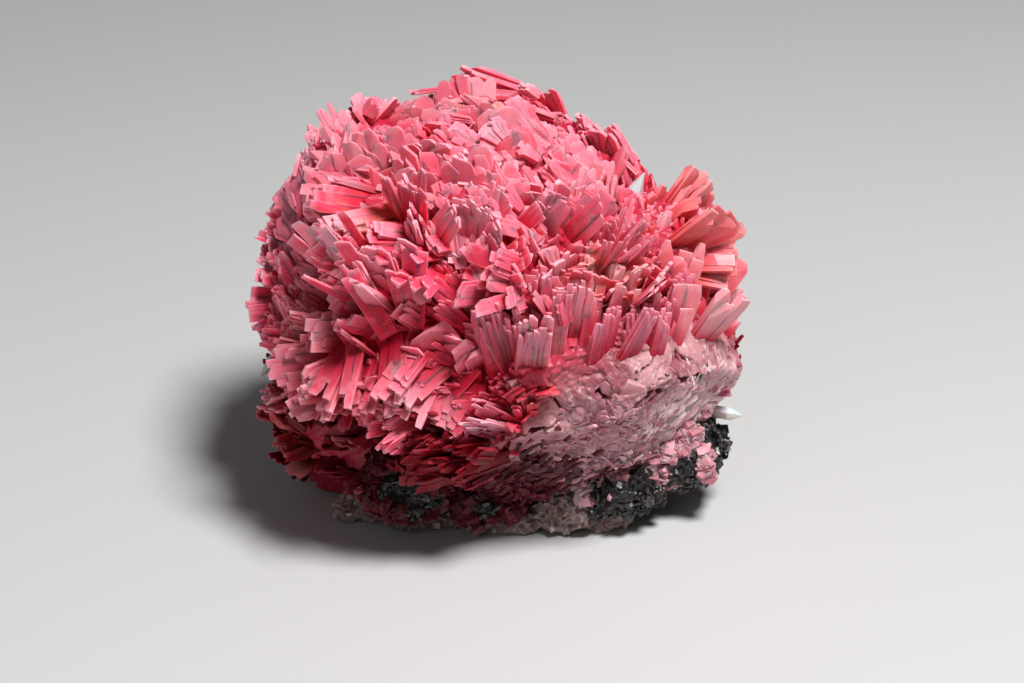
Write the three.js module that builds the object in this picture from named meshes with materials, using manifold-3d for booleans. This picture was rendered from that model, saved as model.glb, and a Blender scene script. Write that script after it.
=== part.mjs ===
// A hand-sized specimen of rhodonite: sprays of flat pink crystals, grown together into one
// rounded mass on a black manganese-rich matrix, with pale quartz under its front edge and a few
// small quartz crystals seated among the blades.
//
// Units are millimetres, +Z is up, and the front of the specimen faces -Y. The origin is the
// middle of the flat broken face that it rests on. Directions on the mass are given from its
// middle, as an azimuth (0 is the front, +90 the right, -90 the left) and an elevation.

import * as THREE from "three";
import { mergeVertices } from "three/addons/utils/BufferGeometryUtils.js";
import Module from "manifold-3d";

const wasm = await Module();
wasm.setup();

// ---- Driving dimensions ----

// The rounded body that the blades stand on, before its swells and hollows.
const BODY = {
  middle: new THREE.Vector3(0, 0, 19.5),
  across: 18.2,
  deep: 16.6,
  up: 16.0,
  down: 18.0,
  boxiness: 2.5,
  detail: 5,
  roughness: 0.7,
};

const GAP = 0.3; // clear space between the pink mass and what it grew around
const ROOT_DEPTH = 2.6; // how far the root of a spray is sunk, back along its own axis
const RISE = 0.34; // no spray lies flatter on the body than this (sine of its angle to it)
const FAN_ROOT = 1.6; // width of a fan of blades at its root
const THICKNESS = 1.1; // thickness of one fan of blades
const LIFT = 0.3; // the pink mass stays this far above the resting plane
const SLIVER = 0.12; // edges shorter than this are closed up after the joins
const SEED = 20;

// Swells and hollows of the body: azimuth, elevation, height in mm, half-width in degrees.
const SWELLS = [
  [-80, -38, 5.2, 26], // lower left shoulder
  [-92, -12, 1.8, 16],
  [-112, 34, 2.6, 26], // upper left shoulder
  [66, 52, -6.0, 30], // the top falls away to the right
  [35, -32, 1.6, 30], // massive foot, front right
  [88, -28, 4.6, 24], // right flank
  [-42, -3, 1.0, 17], // seat of the front bouquets
  [165, 15, 1.6, 34], // back
  [-62, 9, -2.6, 13], // hollow on the left
  [-46, -38, -3.4, 16], // hollow under the bouquets
  [66, 10, -2.8, 9], // hollow below the right spray
  [-6, 6, -1.6, 9], // cleft in the middle
  [-150, -8, -1.8, 15], // hollow at the back
];

// The sprays: where each is seated, where its blades point, their length and width, how far the
// fan opens, and how a blade ends. Angles are in degrees and sizes in millimetres.
const SPRAYS = [
  // name, seat azimuth, seat elevation, axis azimuth, axis elevation, length, width, opening, end
  ["crown_peak", -160, 80, 180, 82, 6.6, 4.0, 50, "round"],
  ["crown_left", -105, 66, -100, 74, 5.6, 3.6, 50, "round"],
  ["crown_hump", -108, 46, -96, 68, 6.0, 4.4, 45, "round"],
  ["left_club", -114, 34, -112, 58, 6.4, 2.6, 25, "round"],
  ["crown_right", 50, 75, 104, 76, 6.0, 3.2, 45, "round"],
  ["crown_shoulder", 62, 60, 94, 68, 5.6, 3.0, 40, "chisel"],
  ["right_peak", 62, 46, 145, 76, 7.6, 4.4, 25, "point"],
  ["left_plates", -60, 50, -76, 36, 8.4, 5.4, 35, "round"],
  ["mid_crown", -35, 60, -25, 70, 5.6, 3.4, 50, "chisel"],
  ["mid_crown_right", 6, 60, 26, 70, 5.0, 2.4, 50, "square"],
  ["left_block", -108, 28, -86, 24, 5.0, 2.4, 30, "square"],
  ["left_shelf", -94, 18, -76, 14, 6.4, 3.6, 40, "round"],
  ["left_ledge", -52, 40, -60, 16, 6.0, 3.0, 20, "square"],
  ["left_long_fan", -40, 22, -80, 50, 10.0, 1.8, 40, "chisel"],
  ["left_low_fan", -38, 14, -80, 28, 10.0, 1.8, 35, "chisel"],
  ["left_glassy", -88, 6, -84, 18, 4.8, 2.4, 30, "chisel"],
  ["left_point", -86, -4, -78, -6, 4.4, 2.4, 40, "point"],
  ["mound_top", -30, 40, 10, 68, 5.0, 2.4, 60, "square"],
  ["mound_mid", -4, 36, 34, 56, 5.4, 2.6, 70, "chisel"],
  ["mound_front", 2, 28, -48, 22, 6.0, 1.8, 50, "point"],
  ["mound_left", -28, 30, -42, 6, 5.0, 2.6, 60, "chisel"],
  ["mound_white", -30, 20, -54, 68, 7.0, 1.6, 40, "point"],
  ["right_long", 22, 40, 66, 58, 7.0, 1.8, 40, "chisel"],
  ["right_needles", 36, 30, 70, 64, 6.0, 1.4, 50, "point"],
  ["right_needles_high", 50, 36, 84, 74, 6.0, 1.4, 50, "point"],
  ["right_glint", 66, 34, -100, 76, 5.0, 2.2, 30, "chisel"],
  ["right_spray", 66, 24, 92, 28, 6.8, 2.0, 50, "square"],
  ["right_spray_low", 72, 20, 82, -2, 5.6, 2.2, 40, "point"],
  ["right_spray_high", 76, 30, 108, 58, 4.6, 2.6, 40, "round"],
  ["right_column", 64, 0, 155, 84, 7.6, 1.8, 30, "chisel"],
  ["right_edge_column", 82, -10, 40, 74, 6.4, 1.8, 30, "point"],
  ["mid_column", 46, -10, 105, 80, 8.0, 1.8, 35, "chisel"],
  ["columnar_fan", 16, -6, 175, 86, 9.4, 2.0, 25, "square"],
  ["columnar_left", 4, -10, -110, 74, 8.0, 1.8, 30, "chisel"],
  ["pencil", -18, -8, 58, 60, 6.6, 2.0, 25, "square"],
  ["slab_plate", 0, -6, -80, 64, 7.0, 3.0, 25, "square"],
  ["lens_blade", -40, 6, -72, 50, 5.6, 1.8, 30, "point"],
  ["cross_blades", -26, 14, -70, 40, 6.0, 1.6, 35, "point"],
  ["bouquet_main", -40, -6, 4, -46, 8.4, 2.2, 35, "square"],
  ["bouquet_right", -20, -2, -36, -34, 8.4, 2.0, 35, "square"],
  ["bouquet_small", -54, -18, -6, -46, 4.6, 2.2, 30, "square"],
  ["left_bouquet", -44, -10, -60, -6, 7.4, 2.8, 55, "square"],
  ["left_bouquet_top", -50, -4, -76, 34, 7.0, 2.8, 50, "round"],
  ["left_bouquet_edge", -74, -24, -74, -4, 4.8, 3.0, 40, "chisel"],
  ["low_fibres", 0, -22, -80, 38, 8.0, 1.6, 35, "chisel"],
  ["low_blocks", -16, -16, -50, -26, 5.0, 2.2, 35, "square"],
  ["low_left_high", -76, -30, -80, 2, 4.0, 2.4, 40, "square"],
  ["low_left_mid", -70, -37, -80, -2, 3.6, 2.2, 40, "chisel"],
  ["low_left_low", -66, -44, -80, -4, 4.2, 2.2, 35, "point"],
  ["low_left_under", -62, -50, -68, -20, 4.0, 2.2, 40, "chisel"],
  ["foot_left", -48, -54, -74, -6, 5.6, 3.0, 40, "round"],
  ["under_left_ribs", -60, -34, -56, -20, 6.0, 1.8, 50, "chisel"],
];

// Smaller sprays cover the rest of the mass, spaced evenly over it.
const COVER = {
  places: 92,
  lowest: -38, // no crystals below this elevation: the massive foot and the matrix show there
  clear: 14, // degrees from a named spray's seat
  length: 5.6,
  width: 4.4,
  opening: 70,
};

// The massive foot has no free crystals: it is broken across in flat faces. Each face is given by
// the azimuth and elevation that it looks to and its distance from the middle of the body.
const BREAKS = [
  [14, -32, 17.4],
  [46, -24, 18.8],
  [78, -34, 21.6],
  [32, -54, 18.2],
  [118, -36, 18.8],
  [-16, -48, 17.6],
  [160, -40, 17.8],
  [-150, -38, 18.2],
];
const FOOT = { azimuth: 50, elevation: -34, halfWidth: 44 }; // where the bare foot is at the front

// Lumps of the black matrix: middle and half-sizes. The first is the slab that it rests on.
const MATRIX_LUMPS = [
  [1, 2, 2.6, 12.5, 10.5, 4.4],
  [-8.6, -9.4, 5.2, 4.2, 3.6, 3.6],
  [15.6, -3.4, 6.0, 5.4, 5.0, 3.6],
  [9.8, -7.4, 3.8, 5.0, 3.8, 2.8],
  [-1.6, -8.2, 3.4, 4.0, 3.2, 2.4],
  [-10.4, 6.4, 4.2, 5.0, 4.6, 3.4],
  [7.6, 9.8, 4.8, 5.2, 4.4, 3.6],
];

// Lumps of pale quartz under the front edge, from left to right; the largest is a round knob.
const PALE_LUMPS = [
  [-12.4, -6.0, 1.0, 3.6, 2.2, 1.8],
  [-7.0, -7.4, 0.9, 3.8, 2.1, 1.7],
  [-0.4, -8.0, 0.9, 4.8, 2.0, 1.7],
  [5.6, -8.4, 2.2, 2.9, 2.4, 2.8],
  [9.4, -7.8, 1.6, 2.4, 2.1, 2.2],
];

// Small quartz crystals: name, seat azimuth and elevation, axis azimuth and elevation, radius,
// length of the prism and of its pointed end.
const QUARTZ_CRYSTALS = [
  ["quartz_crystal_left", -86, -11, -60, -40, 1.0, 3.8, 0.8],
  ["quartz_crystal_left_upper", -94, 12, -84, 20, 1.5, 4.2, 1.2],
  ["quartz_crystal_right_upper", 88, 38, 84, 66, 1.0, 4.6, 0.9],
  ["quartz_crystal_right_lower", 84, -28, 50, 10, 0.9, 2.6, 0.7],
];

const COLOURS = {
  rhodonite: new THREE.MeshStandardMaterial({ color: 0xd96f80, roughness: 0.35, metalness: 0 }),
  matrix: new THREE.MeshStandardMaterial({ color: 0x1c1a1b, roughness: 0.6, metalness: 0.1 }),
  pale: new THREE.MeshStandardMaterial({ color: 0xcfc3bb, roughness: 0.5, metalness: 0 }),
  quartz: new THREE.MeshStandardMaterial({ color: 0xe9e6ea, roughness: 0.15, metalness: 0 }),
};

// ---- Small tools ----

const radians = THREE.MathUtils.degToRad;

function pointing(azimuth, elevation) {
  const a = radians(azimuth);
  const e = radians(elevation);
  return new THREE.Vector3(
    Math.sin(a) * Math.cos(e),
    -Math.cos(a) * Math.cos(e),
    Math.sin(e),
  );
}

// A repeatable stream of numbers from 0 to 1.
function numbers(seed) {
  let state = seed >>> 0;
  return () => {
    state = (state + 0x6d2b79f5) >>> 0;
    let t = Math.imul(state ^ (state >>> 15), 1 | state);
    t = (t + Math.imul(t ^ (t >>> 7), 61 | t)) ^ t;
    return ((t ^ (t >>> 14)) >>> 0) / 4294967296;
  };
}

function merged(geometry) {
  const bare = geometry.clone();
  bare.deleteAttribute("normal");
  bare.deleteAttribute("uv");
  return mergeVertices(bare, 1e-4);
}

function solidFrom(geometry, matrix = new THREE.Matrix4()) {
  const closed = merged(geometry).applyMatrix4(matrix);
  return new wasm.Manifold(
    new wasm.Mesh({
      numProp: 3,
      vertProperties: new Float32Array(closed.attributes.position.array),
      triVerts: new Uint32Array(closed.index.array),
    }),
  );
}

function joined(solids) {
  return wasm.Manifold.union(solids);
}

// The largest body of a solid: cutting can leave loose chips, and they are dropped.
function largest(solid) {
  return solid.decompose().reduce((a, b) => (a.volume() > b.volume() ? a : b));
}

function meshFrom(name, solid, material) {
  const made = solid.getMesh();
  const count = made.vertProperties.length / made.numProp;
  const positions = new Float32Array(count * 3);
  for (let i = 0; i < count; i++)
    positions.set(made.vertProperties.subarray(i * made.numProp, i * made.numProp + 3), i * 3);
  const geometry = new THREE.BufferGeometry();
  geometry.setAttribute("position", new THREE.BufferAttribute(positions, 3));
  geometry.setIndex(new THREE.BufferAttribute(new Uint32Array(made.triVerts), 1));
  geometry.computeVertexNormals();
  const mesh = new THREE.Mesh(geometry, material);
  mesh.name = name;
  return mesh;
}

// A block that fills everything above a height, to cut a flat underside.
function above(height) {
  const size = 100;
  const box = new THREE.BoxGeometry(size, size, size);
  box.translate(0, 0, height + size / 2);
  return solidFrom(box);
}

// ---- The body ----

function bodyRadius(direction) {
  const n = BODY.boxiness;
  const reach = direction.z > 0 ? BODY.up : BODY.down;
  const plain = Math.pow(
    Math.pow(Math.abs(direction.x) / BODY.across, n) +
      Math.pow(Math.abs(direction.y) / BODY.deep, n) +
      Math.pow(Math.abs(direction.z) / reach, n),
    -1 / n,
  );
  const uneven =
    Math.sin(direction.x * 9 + 1) * Math.sin(direction.y * 8 + 2) +
    Math.sin(direction.z * 10 + direction.x * 5) * 0.7;
  return SWELLS.reduce((radius, [azimuth, elevation, height, width]) => {
    const apart = direction.angleTo(pointing(azimuth, elevation)) / radians(width);
    return radius + height * Math.exp(-apart * apart);
  }, plain + BODY.roughness * uneven);
}

function seatOn(direction, depth = 0) {
  return direction
    .clone()
    .multiplyScalar(bodyRadius(direction) - depth)
    .add(BODY.middle);
}

function bodySolid() {
  const ball = merged(new THREE.IcosahedronGeometry(1, BODY.detail));
  const position = ball.attributes.position;
  for (let i = 0; i < position.count; i++) {
    const direction = new THREE.Vector3().fromBufferAttribute(position, i).normalize();
    position.setXYZ(i, ...seatOn(direction).toArray());
  }
  return BREAKS.reduce((solid, [azimuth, elevation, distance]) => {
    const inward = pointing(azimuth, elevation).negate();
    return solid.trimByPlane(inward.toArray(), inward.dot(BODY.middle) - distance);
  }, solidFrom(ball));
}

// ---- Fans of blades and sprays ----

// How a blade ends, seen flat: each corner's place across the blade (0 to 1) and its reach.
const ENDS = {
  square: [[0.05, 1.0], [0.95, 0.97]],
  chisel: [[0.08, 0.88], [0.82, 1.0]],
  point: [[0.12, 0.86], [0.52, 1.0]],
  round: [[0.05, 0.87], [0.4, 1.0], [0.9, 0.9]],
};
const NOTCH = 0.8; // how far out two neighbouring blades part

// One fan: blades side by side that spread from a narrow root. Its length runs along X, it opens
// along Y, and its thickness is along Z.
function fanGeometry(length, opening, blades, end, random) {
  const half = radians(opening) / 2;
  const outline = [new THREE.Vector2(0, -FAN_ROOT / 2)];
  const corner = (share, reach) => {
    const angle = half * (2 * share - 1);
    const aside = (FAN_ROOT / 2) * (2 * share - 1);
    return new THREE.Vector2(reach * Math.cos(angle), reach * Math.sin(angle) + aside);
  };
  for (let i = 0; i < blades; i++) {
    const middle = Math.abs((2 * i + 1) / blades - 1);
    const reach = length * (0.92 + 0.16 * random() - 0.2 * middle);
    for (const [place, out] of ENDS[end])
      outline.push(corner((i + place) / blades, reach * out));
    if (i < blades - 1) outline.push(corner((i + 1) / blades, reach * NOTCH));
  }
  outline.push(new THREE.Vector2(0, FAN_ROOT / 2));
  const depth = THICKNESS * (0.8 + 0.4 * random());
  const fan = new THREE.ExtrudeGeometry(new THREE.Shape(outline), { depth, bevelEnabled: false });
  fan.translate(0, 0, -depth / 2);
  return fan;
}

// The fans of one spray, as solids. They share a root and lean apart, like an open book.
function spraySolids(spray, fans, random) {
  const { seat, length, width, opening, end } = spray;
  const axis = spray.axis.clone();
  axis.addScaledVector(seat, Math.max(0, RISE - axis.dot(seat))).normalize();
  const root = seatOn(seat).addScaledVector(axis, -ROOT_DEPTH);
  const across = new THREE.Vector3().crossVectors(seat, axis);
  if (across.lengthSq() < 0.04) across.crossVectors(new THREE.Vector3(0.3, 1, 0), axis);
  across.normalize();
  const flat = new THREE.Vector3().crossVectors(axis, across);
  const reach = length * 0.92 + ROOT_DEPTH;
  const span = FAN_ROOT + 2 * reach * Math.tan(radians(opening) / 2);
  const blades = THREE.MathUtils.clamp(Math.round(span / (width * 1.7)), 2, 3);
  return Array.from({ length: fans }, (_, i) => {
    const share = fans === 1 ? 0 : i / (fans - 1) - 0.5;
    const size = reach * (1 - 0.16 * i + 0.08 * random());
    const fan = fanGeometry(size, opening, blades, end, random);
    const matrix = new THREE.Matrix4().makeBasis(axis, across, flat);
    matrix.multiply(new THREE.Matrix4().makeRotationZ(radians((random() - 0.5) * 14)));
    matrix.multiply(new THREE.Matrix4().makeRotationY(radians(-share * 30)));
    matrix.multiply(new THREE.Matrix4().makeRotationX(radians((random() - 0.5) * 50)));
    matrix.setPosition(root.clone().addScaledVector(flat, share * 1.2));
    return solidFrom(fan, matrix);
  });
}

function namedSprays() {
  return SPRAYS.map(([name, sa, se, aa, ae, length, width, opening, end]) => ({
    name,
    seat: pointing(sa, se),
    axis: pointing(aa, ae),
    length,
    width,
    opening,
    end,
  }));
}

// Evenly spaced directions round the mass, less those that a named spray already covers. High up
// the blades stand; lower down they lie back against the mass and point up and outwards.
function coverSprays(named, random) {
  const golden = Math.PI * (3 - Math.sqrt(5));
  const foot = pointing(FOOT.azimuth, FOOT.elevation);
  const ends = Object.keys(ENDS);
  const made = [];
  for (let i = 0; i < COVER.places; i++) {
    const height = 1 - (2 * (i + 0.5)) / COVER.places;
    const around = i * golden;
    const ring = Math.sqrt(1 - height * height);
    const seat = new THREE.Vector3(ring * Math.cos(around), ring * Math.sin(around), height);
    const bare = seat.angleTo(foot) < radians(FOOT.halfWidth);
    const low = height < Math.sin(radians(COVER.lowest));
    const taken = named.some((s) => s.seat.angleTo(seat) < radians(COVER.clear));
    const upward = height > 0.6 ? random() - 0.5 : 0.4 + 0.5 * random();
    const drift = new THREE.Vector3(random() - 0.5, random() - 0.5, upward);
    const size = 0.8 + 0.45 * random();
    if (low || taken || bare) continue;
    drift.projectOnPlane(seat).normalize();
    const standing = height > 0.6 ? 0.8 : 0.5;
    made.push({
      name: `cover_${made.length}`,
      seat,
      axis: drift.addScaledVector(seat, standing).normalize(),
      length: COVER.length * size,
      width: COVER.width * size,
      opening: COVER.opening,
      end: ends[i % ends.length],
    });
  }
  return made;
}

// ---- Rock lumps and quartz crystals ----

// A broken lump of rock: a ball whose corners are pulled in and out. grow makes it larger all
// round, for the hollow that it leaves in what grew over it.
function rockLump([x, y, z, a, b, c], seed, grow) {
  const random = numbers(seed);
  const ball = merged(new THREE.IcosahedronGeometry(1, 1));
  const position = ball.attributes.position;
  for (let i = 0; i < position.count; i++) {
    const rough = 0.9 + 0.18 * random();
    position.setXYZ(
      i,
      x + position.getX(i) * (a * rough + grow),
      y + position.getY(i) * (b * rough + grow),
      z + position.getZ(i) * (c * rough + grow),
    );
  }
  return solidFrom(ball);
}

function rockSolid(lumps, seed, grow = 0) {
  return joined(lumps.map((lump, i) => rockLump(lump, seed + i, grow)));
}

// A six-sided prism with a pointed end, half sunk in the mass.
function quartzSolid([, sa, se, aa, ae, radius, length, tip], grow = 0) {
  const profile = [
    [0, -grow],
    [radius + grow, -grow],
    [radius + grow, length],
    [0, length + tip + 2 * grow],
  ].map(([r, h]) => new THREE.Vector2(r, h));
  const crystal = new THREE.LatheGeometry(profile, 6);
  const turn = new THREE.Quaternion().setFromUnitVectors(
    new THREE.Vector3(0, 1, 0),
    pointing(aa, ae),
  );
  const root = seatOn(pointing(sa, se), 1.2);
  const matrix = new THREE.Matrix4().compose(root, turn, new THREE.Vector3(1, 1, 1));
  return solidFrom(crystal, matrix);
}

// ---- The specimen ----

const random = numbers(SEED);
const named = namedSprays();
const cover = coverSprays(named, random);
const blades = [
  ...named.flatMap((spray) => spraySolids(spray, spray.length > 8.2 ? 2 : 1, random)),
  ...cover.flatMap((spray) => spraySolids(spray, 1, random)),
];

const paleLumps = rockSolid(PALE_LUMPS, 300);
const paleHollow = rockSolid(PALE_LUMPS, 300, GAP);
const matrixLumps = rockSolid(MATRIX_LUMPS, 100);
const matrixHollow = rockSolid(MATRIX_LUMPS, 100, GAP);
const quartzHollows = joined(QUARTZ_CRYSTALS.map((crystal) => quartzSolid(crystal, GAP)));

const pinkMass = largest(
  joined([bodySolid(), ...blades])
    .intersect(above(LIFT))
    .subtract(matrixHollow)
    .subtract(paleHollow)
    .subtract(quartzHollows)
    .simplify(SLIVER),
);
const matrixSolid = largest(
  matrixLumps
    .intersect(above(0))
    .subtract(paleHollow)
    .subtract(quartzHollows)
    .simplify(3 * SLIVER),
);
const paleSolid = largest(paleLumps.intersect(above(0)).simplify(3 * SLIVER));

const specimen = new THREE.Group();
specimen.add(
  meshFrom("rhodonite_crystals", pinkMass, COLOURS.rhodonite),
  meshFrom("black_matrix", matrixSolid, COLOURS.matrix),
  meshFrom("pale_quartz", paleSolid, COLOURS.pale),
  ...QUARTZ_CRYSTALS.map((crystal) =>
    meshFrom(crystal[0], quartzSolid(crystal), COLOURS.quartz),
  ),
);

export default specimen;
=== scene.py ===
# %% [markdown]
# # A rhodonite specimen
#
# Rhodonite is a pink manganese mineral. This specimen is a rounded mass of thin, flat, pink
# crystals. They grew outwards in sprays that ran into each other, so the surface looks like
# many small fans of glassy splinters. Light passes through the thin tips, which look pale,
# and is coloured more and more on its way down, so the gaps between the sprays look crimson.
# Under it lies a black manganese rock, with pale quartz along the front edge.
#
# The lesson builds the specimen in six steps: the rounded mass, one master crystal of each
# kind, thousands of copies placed in sprays, the solid heart with its broken foot, the rocks
# below, and last the light and camera.

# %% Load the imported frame
import math

import bmesh
import bpy
import numpy as np
from mathutils import Matrix, Vector, noise


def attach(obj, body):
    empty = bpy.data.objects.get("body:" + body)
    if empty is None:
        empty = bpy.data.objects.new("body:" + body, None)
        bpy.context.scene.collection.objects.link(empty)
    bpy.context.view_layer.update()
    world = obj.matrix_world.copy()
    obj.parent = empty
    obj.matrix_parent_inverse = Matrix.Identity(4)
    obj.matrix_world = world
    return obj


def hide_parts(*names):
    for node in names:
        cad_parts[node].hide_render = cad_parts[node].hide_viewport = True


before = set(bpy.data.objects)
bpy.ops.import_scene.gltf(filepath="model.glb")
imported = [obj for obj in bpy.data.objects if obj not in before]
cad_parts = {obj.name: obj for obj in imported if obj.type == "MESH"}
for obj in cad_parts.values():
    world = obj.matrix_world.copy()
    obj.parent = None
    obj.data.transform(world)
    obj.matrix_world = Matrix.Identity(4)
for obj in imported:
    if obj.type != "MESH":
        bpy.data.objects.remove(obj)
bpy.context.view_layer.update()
MM = 0.001

# %% [markdown]
# ## The rounded mass
#
# Every spray is seated on one rounded body, so its surface is worked out first, as a distance
# from the middle for any direction. It could be sculpted, but a formula is better here: the
# seats of the sprays, the depth of a point below the tips and the rock's own mesh can all ask
# it the same question. The figures are the ones that the CAD model uses, in millimetres.

# %% Directions and the body's driving dimensions
MIDDLE = np.array([0.0, 0.0, 19.5])
ACROSS, DEEP, UP, DOWN, BOXINESS, UNEVEN = 18.2, 16.6, 16.0, 18.0, 2.5, 0.7

# Swells and hollows: azimuth, elevation, height in mm and half-width in degrees.
SWELLS = [
    (-80, -38, 5.2, 26),
    (-92, -12, 1.8, 16),
    (-112, 34, 2.6, 26),
    (66, 52, -6.0, 30),
    (35, -32, 1.6, 30),
    (88, -28, 4.6, 24),
    (-42, -3, 1.0, 17),
    (165, 15, 1.6, 34),
    (-62, 9, -2.6, 13),
    (-46, -38, -3.4, 16),
    (66, 10, -2.8, 9),
    (-6, 6, -1.6, 9),
    (-150, -8, -1.8, 15),
]

# The massive foot is broken across in flat faces: where each looks to, and its distance.
BREAKS = [
    (14, -32, 17.4),
    (46, -24, 18.8),
    (78, -34, 21.6),
    (32, -54, 18.2),
    (118, -36, 18.8),
    (-16, -48, 17.6),
    (160, -40, 17.8),
    (-150, -38, 18.2),
]


CRUST = 0.4  # the fused roots of the crystals stand this much over that body, in mm


def pointing(azimuth, elevation):
    """The direction at an azimuth (0 is the front, 90 the right) and an elevation, in degrees."""
    a, e = np.radians(azimuth), np.radians(elevation)
    return np.stack([np.sin(a) * np.cos(e), -np.cos(a) * np.cos(e), np.sin(e)], axis=-1)


def unit(v):
    return v / np.linalg.norm(v, axis=-1, keepdims=True)


FOOT = pointing(50, -34)  # the middle of the bare massive foot


def bare(d, far, near):
    """0 on the bare foot, nearer to its middle than `near` degrees, and 1 further than `far`."""
    apart = np.degrees(np.arccos(np.clip(d @ FOOT, -1, 1)))
    return np.clip((apart - near) / (far - near), 0, 1)


# %% The body's radius in any direction
def body_radius(d):
    """How far the body reaches from its middle along the unit directions d, in mm."""
    reach = np.where(d[..., 2] > 0, UP, DOWN)
    total = sum(
        (np.abs(d[..., i]) / size) ** BOXINESS
        for i, size in ((0, ACROSS), (1, DEEP), (2, reach))
    )
    lumps = np.sin(d[..., 0] * 9 + 1) * np.sin(d[..., 1] * 8 + 2)
    waves = np.sin(d[..., 2] * 10 + d[..., 0] * 5) * 0.7
    radius = total ** (-1 / BOXINESS) + UNEVEN * (lumps + waves)
    for azimuth, elevation, height, width in SWELLS:
        apart = np.arccos(np.clip(d @ pointing(azimuth, elevation), -1, 1))
        radius = radius + height * np.exp(-((apart / math.radians(width)) ** 2))
    for azimuth, elevation, distance in BREAKS:
        facing = np.maximum(d @ pointing(azimuth, elevation), 1e-6)
        radius = np.minimum(radius, distance / facing)
    return radius + CRUST * bare(d, 56, 44)


def height_above(p):
    """How far the points p (in mm) stand out of the body."""
    out = p - MIDDLE
    far = np.linalg.norm(out, axis=-1)
    return far - body_radius(out / far[..., None])


print("The body reaches", body_radius(pointing(np.array([-90.0, 0, 90]), np.zeros(3))).round(1))

# %% [markdown]
# ## Domes, notches and hollows
#
# Crystals of equal length on a smooth body would look like a ball of spikes. On the real mass
# neighbouring sprays end together in domes, with valleys between them, and a few hollows never
# grew shut. A displacement modifier could make that relief, but the sprays could not ask it
# where the surface is. So it is one more formula: each direction belongs to the dome that
# stands highest there, and notches, peaks and hollows are round bumps added to it.


# %% Domes on the body
def even_directions(count):
    """Directions spaced evenly over a sphere, on a spiral that turns by the golden angle."""
    k = np.arange(count)
    height = 1 - 2 * (k + 0.5) / count
    around = k * math.pi * (3 - math.sqrt(5))
    ring = np.sqrt(1 - height**2)
    return np.stack([ring * np.cos(around), ring * np.sin(around), height], axis=-1)


rng = np.random.default_rng(20)
LOBES = 64
LOBE_SEATS = even_directions(LOBES)
LOBE_SEATS = unit(LOBE_SEATS + 0.12 * rng.normal(size=LOBE_SEATS.shape))
LOBE_HEIGHTS = rng.uniform(1.2, 2.6, LOBES)
LOBE_WIDTH = 17  # half-width in degrees
CAVE_DEPTH = 1.8  # in mm

# Notches and peaks of the outline: azimuth, elevation, height in mm and half-width in degrees.
NOTCHES = [
    (109, 38, -2.6, 9),
    (130, 55, -4.4, 15),
    (128, 33, -3.0, 14),
    (150, 64, -1.8, 12),
    (-138, 59, -3.2, 12),
    (-105, 31, -4.6, 10),
    (-116, 45, 1.8, 6),
    (118, 47, 3.6, 7),
    (-80, -23, -2.2, 14),
    (100, 24, 1.4, 9),
    (82, -16, 1.4, 11),
]

# Hollows that stay open, lined with short crystals painted dark as shade: azimuth, elevation and
# half-width.
CAVES = [
    (-56, 8, 12),
    (-28, 7, 6),
    (2, 17, 5),
    (-60, -34, 12),
    (-60, -22, 6),
    (64, 20, 5),
    (-42, 38, 4),
    (34, 19, 4),
]


def bump_at(d, azimuth, elevation, width):
    """A round bump of height 1 in the directions d, with its half-width in degrees."""
    apart = np.degrees(np.arccos(np.clip(d @ pointing(azimuth, elevation), -1, 1)))
    return np.exp(-((apart / width) ** 2))


def notches(d):
    return sum(rise * bump_at(d, az, el, width) for az, el, rise, width in NOTCHES)


def lobes(d):
    """Sprays end in domes with valleys between: how far a direction's dome stands out, in mm."""
    apart = np.degrees(np.arccos(np.clip(d @ LOBE_SEATS.T, -1, 1)))
    height = (LOBE_HEIGHTS * (1 - (apart / LOBE_WIDTH) ** 2)).max(axis=-1) - 1.0
    caves = sum(bump_at(d, *cave) for cave in CAVES)
    return (height + notches(d) - CAVE_DEPTH * caves) * bare(d, 60, 46)


outs = lobes(even_directions(900))
print("Lobes stand between", outs.min().round(1), "and", outs.max().round(1), "mm out")


# %% [markdown]
# ## Master crystals
#
# A rhodonite crystal here is a long flat tablet with a cut or blocky end. Modelling tens of
# thousands of them one by one is hopeless, and particles would be lost when the model is
# exported. So a few master crystals of unit length, width and thickness are made with bmesh
# operators, and their arrays of corners are copied, stretched and placed afterwards. Each
# master is a cube that is tapered, cut across its end by one or more planes, and bevelled.
# There are three kinds: a straight lath, a ray that is narrow at its root as in a fan, and a
# broad tablet. Only tablets are bevelled, because a bevel on a thin lath can't be seen.


# %% One master crystal
def bevel(bm, edges, width):
    """A single flat face along each edge, so that it catches the light."""
    bmesh.ops.bevel(
        bm,
        geom=edges,
        offset=width,
        offset_type="OFFSET",
        affect="EDGES",
        segments=1,
        profile=0.5,
        material=-1,
    )


def master_crystal(planes, taper, edge):
    """Corners and triangles of a crystal from x = 0 (root) to x = 1 (tip), 1 wide and thick.

    What lies beyond each plane is cut off its end. Its root is narrowed by taper, and edge is
    the width of the bevel."""
    bm = bmesh.new()
    bmesh.ops.create_cube(bm, size=1)
    bmesh.ops.translate(bm, verts=bm.verts, vec=(0.5, 0, 0))
    roots = [v for v in bm.verts if v.co.x < 0.5]
    bmesh.ops.scale(bm, verts=roots, vec=(1, taper, max(taper, 0.8)))
    for point, normal in planes:
        cut = bmesh.ops.bisect_plane(
            bm,
            geom=bm.verts[:] + bm.edges[:] + bm.faces[:],
            plane_co=point,
            plane_no=Vector(normal).normalized(),
            clear_outer=True,
        )
        rim = [e for e in cut["geom_cut"] if isinstance(e, bmesh.types.BMEdge)]
        bmesh.ops.contextual_create(bm, geom=rim)
    if edge:
        long_edges = [e for e in bm.edges if abs((e.verts[0].co - e.verts[1].co).x) > 0.4]
        bevel(bm, long_edges, edge)
    bmesh.ops.recalc_face_normals(bm, faces=bm.faces)
    bmesh.ops.triangulate(bm, faces=bm.faces)
    corners = np.array([v.co for v in bm.verts])
    triangles = np.array([[v.index for v in f.verts] for f in bm.faces])
    bm.free()
    return corners, triangles


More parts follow.
